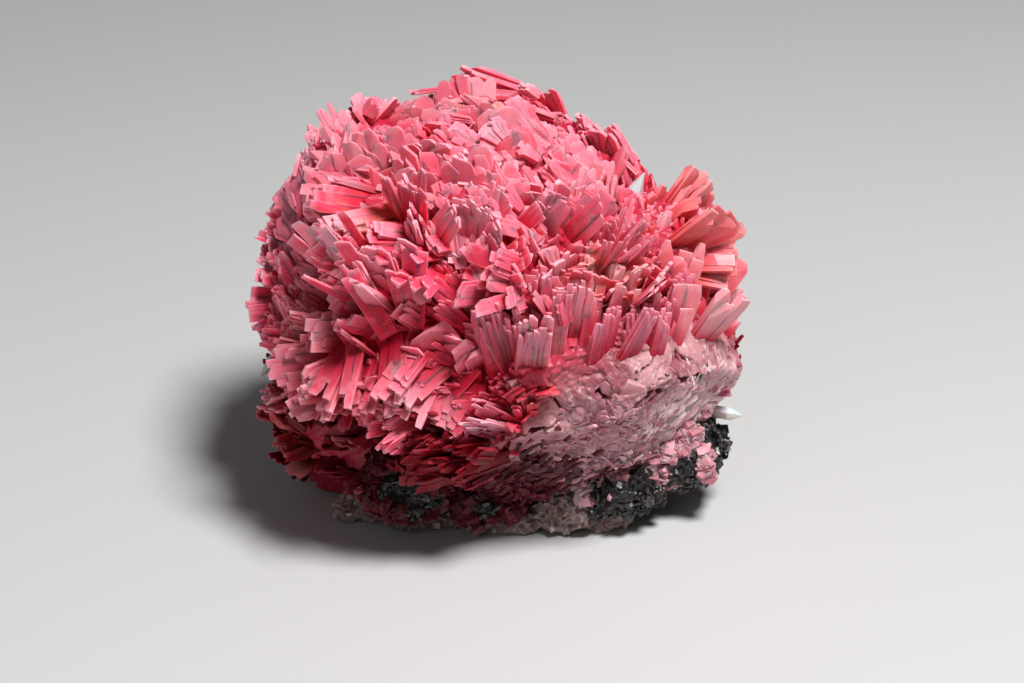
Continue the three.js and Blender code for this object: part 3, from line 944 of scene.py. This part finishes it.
# What a shade has besides its colours in the gaps, on the crystals and at their tips.
EXTRAS = {
    "soft_pink": dict(gloss=0.26, streak=0.25, depth=1.8, root=0.35, coat=0.08),
    "rose": dict(streak=0.5, depth=3.4),
    "clear": dict(haze=0.4, streak=0.9, depth=3.4),
    "mauve": dict(haze=0.35, glint=1.0, coat=0.3),
    "salmon": dict(streak=0.4),
    "peach": dict(haze=0.4, gloss=0.3, depth=4.0, coat=0.05),
    "blush": dict(streak=0.6, root=0.4),
    "pale": dict(depth=0.8),
    "silk": dict(streak=0.4, depth=0.5),
    "dark": dict(haze=0.12),
    "dusky": dict(haze=0.35),
    "maroon": dict(depth=0.8),
}
shades = {name: rhodonite(name, *SHADES[name], **EXTRAS[name]) for name in SHADES}
REGION_SHADES = {
    "crown": "soft_pink",
    "left_field": "clear",
    "mound": "clear",
    "right_needles": "rose",
    "right_spray": "salmon",
    "columns": "mauve",
    "right_columns": "blush",
    "right_edge": "pale",
    "glassy": "mauve",
    "bouquets": "peach",
    "low_left": "dusky",
    "cover_top": "soft_pink",
    "cover_side": "clear",
    "cover_small": "rose",
    "cover_low": "dark",
}
print("Shades made:", list(shades))

# %% Stamp the crystals and give them their values
# Iron stains some places orange: azimuth, elevation, half-width in degrees and strength.
STAINS = [
    (-48, 36, 5, 0.8),
    (-42, 40, 3, 0.7),
    (-62, 54, 3, 0.7),
    (-120, 78, 4, 0.6),
    (-170, 80, 3, 0.6),
    (30, 29, 8, 0.6),
    (42, 25, 6, 0.5),
    (74, 28, 6, 0.25),
    (10, -5, 5, 0.3),
    (-60, 4, 4, 0.4),
]


def placed_values(corners):
    """How far out of the mass each corner stands, and how stained it is."""
    d = unit(corners - MIDDLE)
    out = height_above(corners) - notches(d)
    stain = np.zeros(len(corners))
    for azimuth, elevation, width, strength in STAINS:
        stain = np.maximum(stain, strength * bump_at(d, azimuth, elevation, width))
    return dict(out=out, stain=stain * np.clip(1.2 - out / 4, 0, 1))


LOWEST = 0.05  # no corner of a crystal is nearer to the table, in mm


def crystals(name, bundle, finish):
    """One piece from the crystals of a bundle of sprays."""
    made = stamp(bundle)
    made["corners"][:, 2] = np.maximum(made["corners"][:, 2], LOWEST)
    values = {key: made[key] for key in ("along", "across", "tint", "grain")}
    values.update(placed_values(made["corners"]))
    piece = object_from(name, made["corners"], made["triangles"], values, made["uv"])
    hand_over(piece, finish)
    print(name, len(made["triangles"]), "triangles")


for name, bundle in bundles.items():
    crystals(f"{name}_crystals", bundle, shades[REGION_SHADES[name]])

# %% [markdown]
# ## The solid heart and the broken foot
#
# Between the sprays the mass is solid, and at the lower right it is broken across, so its
# inside shows: greyish pink, fibrous, with curved cracks and small hollows. It starts as an
# icosphere whose foot is subdivided once more, because the detail is there. Each corner is moved
# out to the body's surface, and then in by noise that is shaped into cracks, pits and fibres.
# A bump map would be cheaper, but the outline and the shadows of real relief look better.

# %% Relief of the broken foot
FAN_ROOT = pointing(58, -46)  # where the pale fan of fibres starts
RIGHT, UPWARD = np.array([0.75, 0.66, 0.0]), np.array([0.0, 0.2, 0.98])


def fan_place(d):
    """Angle round the root of the fan, and distance from it, for the directions d."""
    off = d - FAN_ROOT
    return np.arctan2(off @ UPWARD, off @ RIGHT), np.linalg.norm(off, axis=-1)


def foot_relief(p, turn, far):
    """How far the foot's surface lies in (mm), and how much of a crack a point is."""
    bent = Vector(p) + 1.6 * noise.noise_vector(Vector(p) * 0.25)
    crack = max(0.0, 1 - abs(noise.noise(bent * 0.28)) * 9) ** 3
    chips = noise.voronoi(bent * 0.55)[0]
    step = 0.9 * (chips[1] - chips[0]) ** 0.6
    pit = max(0.0, noise.noise(bent * 0.75 + Vector((5, 1, 9))) - 0.32) * 3.2
    fibres = noise.fractal(Vector((turn * 16, far * 5, 0.3)), 1.0, 2.2, 3) * 0.16
    rough = noise.fractal(bent * 2.4, 0.8, 2.1, 3) * 0.12
    return 0.9 * crack + 1.3 * pit - 0.4 * step - fibres - rough, max(crack, min(1.0, 2 * pit))


# %% The heart of the mass
HEART_LOWEST = 0.4  # in mm


def heart():
    """The solid mass, with its foot in relief and the values that its finish reads."""
    bm = bmesh.new()
    bmesh.ops.create_icosphere(bm, subdivisions=7, radius=1)
    middle = Vector(FOOT)
    near = [e for e in bm.edges if all(v.co.normalized() @ middle > 0.66 for v in e.verts)]
    bmesh.ops.subdivide_edges(bm, edges=near, cuts=1, use_grid_fill=True)
    bmesh.ops.triangulate(bm, faces=bm.faces)
    directions = unit(np.array([v.co for v in bm.verts]))
    radius = body_radius(directions) + lobes(directions)
    massive = 1 - bare(directions, 52, 36)
    turn, far = fan_place(directions)
    cracks = np.zeros(len(directions))
    for i, v in enumerate(bm.verts):
        p, d = Vector(MIDDLE + directions[i] * radius[i]), Vector(directions[i])
        rock = noise.fractal(p * 0.22, 1.0, 2.1, 4) * 0.9 + abs(noise.noise(p * 1.3)) * 0.8
        if massive[i] > 0:
            inward, cracks[i] = foot_relief(p, turn[i], far[i])
            rock = rock * (1 - massive[i]) - inward * massive[i]
        v.co = (p + d * rock) * MM
        v.co.z = max(v.co.z, HEART_LOWEST * MM)
    bmesh.ops.recalc_face_normals(bm, faces=bm.faces)
    mesh = mesh_from("rhodonite_heart", bm)
    give_values(
        mesh, dict(massive=massive, crack=cracks, turn=turn, far=far, high=directions[:, 2])
    )
    print("Heart:", len(mesh.polygons), "triangles")
    return add_object("rhodonite_heart", mesh)


def massive_finish():
    """Greyish pink with a silky fan on the broken foot, turning near black on its underside as painted
    shade, and crimson where the sprays hide it, the painted shade of the gaps.
    """
    sh = Shader("rhodonite_massive")
    massive, crack, high = sh.attribute("massive"), sh.attribute("crack"), sh.attribute("high")
    turn, far = sh.attribute("turn"), sh.attribute("far")
    place = sh.node("ShaderNodeCombineXYZ", dict(X=turn * 22.0, Y=far * 4.0))
    fibres = sh.grains(1.0, 4.0, place)
    clouds, fine = sh.grains(230.0, 5.0), sh.grains(1400.0, 3.0)
    pale = sh.mix(sh.ramp(clouds, 0.38, 0.62), (0.30, 0.085, 0.11), (0.54, 0.27, 0.29))
    pale = sh.mix(sh.ramp(fine, 0.55, 0.7) * 0.5, pale, (0.86, 0.70, 0.68))
    fan = sh.ramp(far, 0.75, 0.3) * sh.ramp(turn, -0.1, 0.25) * sh.ramp(turn, 2.2, 1.9)
    silk = sh.mix(sh.ramp(fibres, 0.35, 0.65), (0.84, 0.46, 0.48), (1.0, 0.82, 0.82))
    pale = sh.mix(fan, pale, silk)
    # Painted shade: the foot turns near black towards its underside.
    pale = sh.mix(sh.ramp(high, -0.36, -0.66) * 0.95, pale, (0.045, 0.003, 0.006))
    pale = sh.mix(crack, pale, (0.20, 0.03, 0.04))
    # Painted shade: where the sprays hide the heart, it takes the dark crimson of the gaps.
    colour = sh.mix(massive, (0.42, 0.015, 0.045), pale)
    sh.set(
        Base_Color=colour,
        Roughness=0.32 + fine * 0.25,
        Normal=sh.bump(fine + clouds + fibres, 0.4, 0.0002),
        IOR=1.6,
        Specular_IOR_Level=0.3,
        Subsurface_Weight=0.4,
        Subsurface_Radius=(1.0, 0.5, 0.55),
        Subsurface_Scale=0.0008,
    )
    return sh.material


hand_over(heart(), massive_finish(), "rhodonite_crystals")

# %% [markdown]
# ## Splinters on the foot
#
# A fibrous mineral breaks into splinters that lie almost flat. They are the same laths as in
# the sprays, laid on the surface with their broad side up. To lay one flat, the direction
# that the surface faces has to be known: it is the cross product of two small steps along it.


# %% Flat splinters
def facing(seat):
    """The direction that the body's surface faces at a seat."""
    one = unit(np.cross(seat, np.array([0.1, 0.2, 1.0])))
    two = np.cross(seat, one)
    small = 0.02
    here, p, q = unit(seat), unit(seat + small * one), unit(seat + small * two)
    surface = here * body_radius(here)[..., None]
    a = p * body_radius(p)[..., None] - surface
    b = q * body_radius(q)[..., None] - surface
    out = unit(np.cross(a, b))
    return out * np.sign((out * here).sum(axis=-1, keepdims=True))


def splinters(
    middle, spread, count, length, width, source,
    lift=0.2, stray=14, kind="lath", tilt=7, thin=0.2,
):
    """Crystals lying on the surface round a middle, pointing away from the source or anyhow.

    lift: how far they lie out, in mm. stray, tilt: how unevenly they point, in degrees."""
    rows = []
    seats = unit(middle + spread * rng.normal(size=(count, 3)))
    for seat, out, reach in zip(seats, facing(seats), body_radius(seats)):
        a = seat - source if source is not None else rng.normal(size=3)
        a = unit(a - out * float(a @ out))
        s = np.cross(out, a)
        aside, rise = np.radians(rng.normal(0, stray)), np.radians(rng.normal(tilt / 2, tilt))
        a = unit(a * math.cos(aside) + s * math.sin(aside) + out * math.tan(rise))
        s = unit(np.cross(out, a) + out * rng.normal(0, 0.16))
        n = np.cross(a, s)
        long = length * rng.uniform(0.5, 1.5)
        thick = thin * rng.uniform(1, 2.5)
        start = MIDDLE + seat * reach - a * long * 0.5
        start = start + out * (lift * rng.uniform(0.3, 1.3) - thick / 2)
        size = (long, width * rng.uniform(0.5, 1.5), thick)
        which = rng.integers(len(MASTERS[kind]))
        rows.append((*start, *a, *s, *n, *size, which, rng.random(), rng.random()))
    return dict(rows=np.array(rows), kind=kind)


# %% Lay the splinters
fan = [splinters(pointing(64, -28), 0.12, 1100, 1.9, 0.2, FAN_ROOT, 0.02, 2.5, tilt=0.8, thin=0.09)]
under = [splinters(pointing(-6, -52), 0.2, 700, 2.8, 0.4, pointing(-70, -70), thin=0.14)]
broken = [
    splinters(pointing(36, -30), 0.22, 150, 2.0, 1.3, None, 0.03, 30, "tablet", thin=0.16),
    splinters(pointing(34, -26), 0.2, 160, 1.8, 0.34, pointing(-85, 10), 0.05, 22, thin=0.12),
    splinters(pointing(62, -44), 0.2, 160, 1.3, 0.8, None, 0.1, 30, "tablet", thin=0.16),
]
crystals("pale_fan_fibres", fan, shades["silk"])
# The fibres under the foot take the maroon shade, which is painted shade.
crystals("under_fibres", under, shades["maroon"])
crystals("massive_flakes", broken, shades["pale"])

# %% [markdown]
# ## The rocks below
#
# The CAD rocks have the right place and outline, but are smooth. A voxel remesh turns a copy
# of each into an even skin of small faces that noise can push in and out. Granules are then
# stamped on it, as the crystals were, because broken manganese rock glitters grain by grain.


# %% A rough rock from a CAD node
def rough_rock(name, node, voxel, coarse, fine_relief):
    """A copy of a node with an even skin of small faces, in relief. All sizes are in mm."""
    bm = bmesh.new()
    bm.from_mesh(bpy.data.objects[node].data)
    bmesh.ops.remove_doubles(bm, verts=bm.verts, dist=1e-6)
    piece = add_object(name, mesh_from(name, bm))
    remesh = piece.modifiers.new("skin", "REMESH")
    remesh.mode, remesh.voxel_size = "VOXEL", voxel * MM
    skin = bpy.data.meshes.new_from_object(piece.evaluated_get(bpy.context.evaluated_depsgraph_get()))
    piece.modifiers.clear()
    piece.data = skin
    bm = bmesh.new()
    bm.from_mesh(skin)
    moved = []
    for v in bm.verts:
        p = v.co / MM
        push = noise.fractal(p * 0.5, 1.0, 2.0, 4) * coarse
        push -= abs(noise.noise(p * 1.7)) * fine_relief
        moved.append((p + v.normal * push) * MM)
    for v, place in zip(bm.verts, moved):
        v.co = (place.x, place.y, max(place.z, 0.0))
    bmesh.ops.triangulate(bm, faces=bm.faces)
    bmesh.ops.recalc_face_normals(bm, faces=bm.faces)
    bm.to_mesh(skin)
    bm.free()
    skin.shade_flat()
    print(name, len(skin.polygons), "triangles")
    return piece


def granules(piece, spots, size, kind="lath", flat=1.0):
    """Crystals standing at all angles on a rock's skin, at the vertices given by spots."""
    vertices = [piece.data.vertices[int(k)] for k in spots]
    places = np.array([v.co for v in vertices]) / MM
    normals = np.array([v.normal for v in vertices])
    rows = []
    for place, normal in zip(places, normals):
        a = unit(normal * flat + 0.7 * rng.normal(size=3))
        s = unit(np.cross(a, normal + 0.5 * rng.normal(size=3)))
        grain = size * rng.uniform(0.5, 1.5)
        start = place - a * grain * 0.5
        if start[2] + min(0.0, a[2]) * grain < grain * 0.6:
            continue
        shape = (grain, grain * rng.uniform(0.6, 1.1), grain * rng.uniform(0.3, 0.6))
        which = rng.integers(len(MASTERS[kind]))
        rows.append((*start, *a, *s, *np.cross(a, s), *shape, which, rng.random(), rng.random()))
    return [dict(rows=np.array(rows), kind=kind)]


# %% Where the rock is bare
# In front the pink mineral has spread over the black rock except in a few patches, given by
# their middle and radius in mm.
PATCHES = [
    (-8.6, -12.4, 6.6, 2.6),
    (-7.2, -12.2, 4.4, 2.4),
    (-1.6, -11.5, 3.6, 1.7),
    (8.8, -10.1, 5.2, 1.5),
    (11.0, -10.0, 4.6, 1.7),
    (13.4, -9.6, 4.8, 1.9),
    (16.4, -8.0, 5.4, 2.0),
    (19.8, -4.6, 7.2, 3.4),
]


def bare_rock(p):
    """1 where the black rock shows and 0 where pink mineral covers it, at the points p in mm."""
    wave = np.array([noise.noise(Vector(point) * 0.9) for point in p])
    behind = np.clip((p[:, 1] + 6) / 2, 0, 1)
    right_edge = np.clip((p[:, 0] - 5) / 2, 0, 1) * np.clip((4.4 - p[:, 2] + wave * 2) / 0.8, 0, 1)
    shown = np.maximum(behind, right_edge)
    for x, y, z, radius in PATCHES:
        away = np.linalg.norm(p - np.array([x, y, z]), axis=1) + wave * 1.2
        shown = np.maximum(shown, np.clip((radius - away) / 0.5, 0, 1))
    return shown


# %% Black rock, pale rock and their finishes
def rock_finish(name, dark, middle, light, gloss, glow=0.0):
    """A clouded rock with light specks, covered by a pink crust where its cover value is 1. The crust
    is darkened to maroon as painted shade.
    """
    sh = Shader(name)
    clouds, fine = sh.grains(420.0, 4.0), sh.grains(2200.0, 3.0)
    tint, cover = sh.attribute("tint"), sh.attribute("cover")
    colour = sh.mix(sh.ramp(clouds, 0.4, 0.62), dark, middle)
    colour = sh.mix(sh.ramp(fine, 0.58, 0.7) * 0.6, colour, light)
    colour = sh.mix(sh.ramp(tint, 0.8, 0.9), colour, light)
    # Painted shade: the pink crust under the mass is darkened to maroon.
    crust = sh.mix(sh.ramp(clouds, 0.35, 0.65), (0.035, 0.005, 0.008), (0.14, 0.05, 0.058))
    colour = sh.mix(cover, colour, crust)
    sh.set(
        Base_Color=colour,
        Roughness=gloss + fine * 0.3,
        Normal=sh.bump(fine + clouds, 0.5, 0.0002),
        IOR=1.6,
        Subsurface_Weight=glow,
        Subsurface_Scale=0.001,
    )
    return sh.material


black = rock_finish(
    "manganese_black", (0.005, 0.004, 0.005), (0.015, 0.012, 0.012), (0.07, 0.05, 0.045), 0.2
)
# The pale quartz is its own pale grey darkened halfway towards how it looks in shade, so partly painted
# shade.
pale = rock_finish(
    "quartz_pale", (0.20, 0.13, 0.125), (0.32, 0.235, 0.23), (0.55, 0.47, 0.46), 0.3, 0.6
)
matrix = rough_rock("matrix_rock", "black_matrix", 0.32, 1.0, 0.6)
knobs = rough_rock("quartz_rock", "pale_quartz", 0.22, 0.5, 0.9)
hand_over(matrix, black, "black_matrix")
hand_over(knobs, pale, "pale_quartz")

# %% Grains on the bare rock, and flakes where it is covered
skin = np.array([v.co for v in matrix.data.vertices]) / MM
shown = bare_rock(skin)
give_values(matrix.data, dict(cover=1 - shown))
bare_spots = rng.choice(np.flatnonzero(shown > 0.5), 4200)
crystals("matrix_rock_grains", granules(matrix, bare_spots, 0.55), black)
on_right = skin[:, 0] > 6 + 2 * np.sin(skin[:, 2])
# The flakes on the left of the covered rock are maroon as painted shade.
for name, spots, count, shade in (
    ("crust_flakes", ~on_right, 1900, "maroon"),
    ("pale_crust_flakes", on_right, 900, "pale"),
):
    spots = rng.choice(np.flatnonzero((shown < 0.4) & spots), count)
    crystals(name, granules(matrix, spots, 1.1, "ray", 0.3), shades[shade])
knob_spots = rng.choice(len(knobs.data.vertices), 500)
crystals("quartz_rock_grains", granules(knobs, knob_spots, 0.45), pale)

# %% [markdown]
# ## Clear quartz
#
# Four small quartz crystals stand at the outline. Quartz is a six-sided prism that ends in a
# pyramid. The prism is a cone of six sides with equal radii, its end is extruded and drawn in,
# and its edges get a small bevel so that they catch the light. Each is laid along the axis of
# its CAD node, found as the direction in which that node's corners spread the most.


# %% A quartz crystal in place of its CAD node
def quartz_crystal(node, finish):
    """A pointed six-sided crystal along the axis of a CAD node, rooted in the mass."""
    corners = np.array([v.co for v in bpy.data.objects[node].data.vertices]) / MM
    centre = corners.mean(axis=0)
    spread = np.linalg.svd(corners - centre, full_matrices=False)[2]
    axis = spread[0] if spread[0] @ (centre - MIDDLE) > 0 else -spread[0]
    along = (corners - centre) @ axis
    low, high = along.min() - 2.5, along.max() * (1.0 if node == "quartz_crystal_left" else 0.5)
    radius = np.linalg.norm((corners - centre) - along[:, None] * axis, axis=1).max() * 0.75
    bm = bmesh.new()
    bmesh.ops.create_cone(
        bm, cap_ends=True, segments=6, radius1=radius, radius2=radius * 0.96, depth=1
    )
    top = max(bm.faces, key=lambda f: f.calc_center_median().z)
    made = bmesh.ops.extrude_face_region(bm, geom=[top])["geom"]
    tip = [v for v in made if isinstance(v, bmesh.types.BMVert)]
    bmesh.ops.delete(bm, geom=[top], context="FACES_ONLY")
    for v in bm.verts:
        v.co.z = low if v.co.z < 0 else low + (high - low) * 0.72
    for v in tip:
        v.co = Vector((v.co.x * 0.16 + radius * 0.1, v.co.y * 0.1, high))
    bevel(bm, bm.edges[:], radius * 0.05)
    turned = Vector(axis).to_track_quat("Z", "Y").to_matrix().to_4x4()
    bmesh.ops.transform(bm, matrix=Matrix.Translation(Vector(centre)) @ turned, verts=bm.verts)
    bmesh.ops.scale(bm, vec=(MM, MM, MM), verts=bm.verts)
    bmesh.ops.recalc_face_normals(bm, faces=bm.faces)
    name = node.replace("quartz_crystal", "clear_quartz")
    hand_over(add_object(name, mesh_from(name, bm)), finish, node)


def clear_quartz():
    """Clear quartz made milky by wisps inside."""
    sh = Shader("clear_quartz")
    wisps = sh.grains(900.0, 3.0)
    sh.set(
        Base_Color=sh.mix(sh.ramp(wisps, 0.5, 0.7), (0.99, 0.97, 0.97), (0.96, 0.92, 0.92)),
        Roughness=0.05 + sh.ramp(wisps, 0.5, 0.75) * 0.2,
        IOR=1.54,
        Transmission_Weight=0.3,
        Subsurface_Weight=0.8,
        Subsurface_Scale=0.002,
    )
    return sh.material


clear = clear_quartz()
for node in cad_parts:
    if node.startswith("quartz_crystal"):
        quartz_crystal(node, clear)

# %% [markdown]
# ## Floor, light and camera
#
# The specimen stands on a pale table. A lamp of moderate size, high in front and to the right,
# models the crystals and leaves the gaps and the underside dark, and a large weak one in front
# keeps those shadows readable. Four diffuse bounces are allowed, because the crimson in the
# gaps is light that has touched several crystals.

# %% Floor
bm = bmesh.new()
bmesh.ops.create_grid(bm, x_segments=1, y_segments=1, size=3)
floor = add_object("floor", mesh_from("floor", bm))
paper = Shader("floor_paper")
paper.set(Base_Color=(0.52, 0.515, 0.51), Roughness=0.7)
floor.data.materials.append(paper.material)


# %% Lights
def softbox(name, place, target, size, power):
    light = bpy.data.lights.new(name, "AREA")
    light.shape, light.size, light.energy = "DISK", size, power
    lamp = bpy.data.objects.new(name, light)
    lamp.location = place
    lamp.rotation_euler = (Vector(target) - Vector(place)).to_track_quat("-Z", "Y").to_euler()
    bpy.context.scene.collection.objects.link(lamp)


softbox("key", (0.12, -0.15, 0.39), (0, 0, 0.02), 0.12, 2.8)
softbox("front", (-0.16, -0.38, 0.26), (0, 0, 0.015), 0.25, 0.15)
world = bpy.data.worlds.new("studio")
world.use_nodes = True
glow = world.node_tree.nodes["Background"].inputs
glow["Color"].default_value = (0.9, 0.93, 1.0, 1)
glow["Strength"].default_value = 0.08
scene = bpy.context.scene
scene.world = world

# %% Camera
AIM = Vector((0.0008, 0, 0.0150))
ELEVATION = math.radians(24)
DISTANCE = 0.261
lens = bpy.data.cameras.new("camera")
lens.lens, lens.sensor_width = 100, 36
lens.clip_start = 0.01
camera = bpy.data.objects.new("camera", lens)
camera.location = AIM + DISTANCE * Vector((0, -math.cos(ELEVATION), math.sin(ELEVATION)))
camera.rotation_euler = (math.pi / 2 - ELEVATION, 0, 0)
scene.collection.objects.link(camera)
scene.camera = camera
scene.view_settings.view_transform = "Standard"
scene.cycles.max_bounces = 6
scene.cycles.transmission_bounces = 4
scene.cycles.diffuse_bounces = 4
scene.cycles.glossy_bounces = 2
scene.cycles.caustics_reflective = False
scene.cycles.caustics_refractive = False
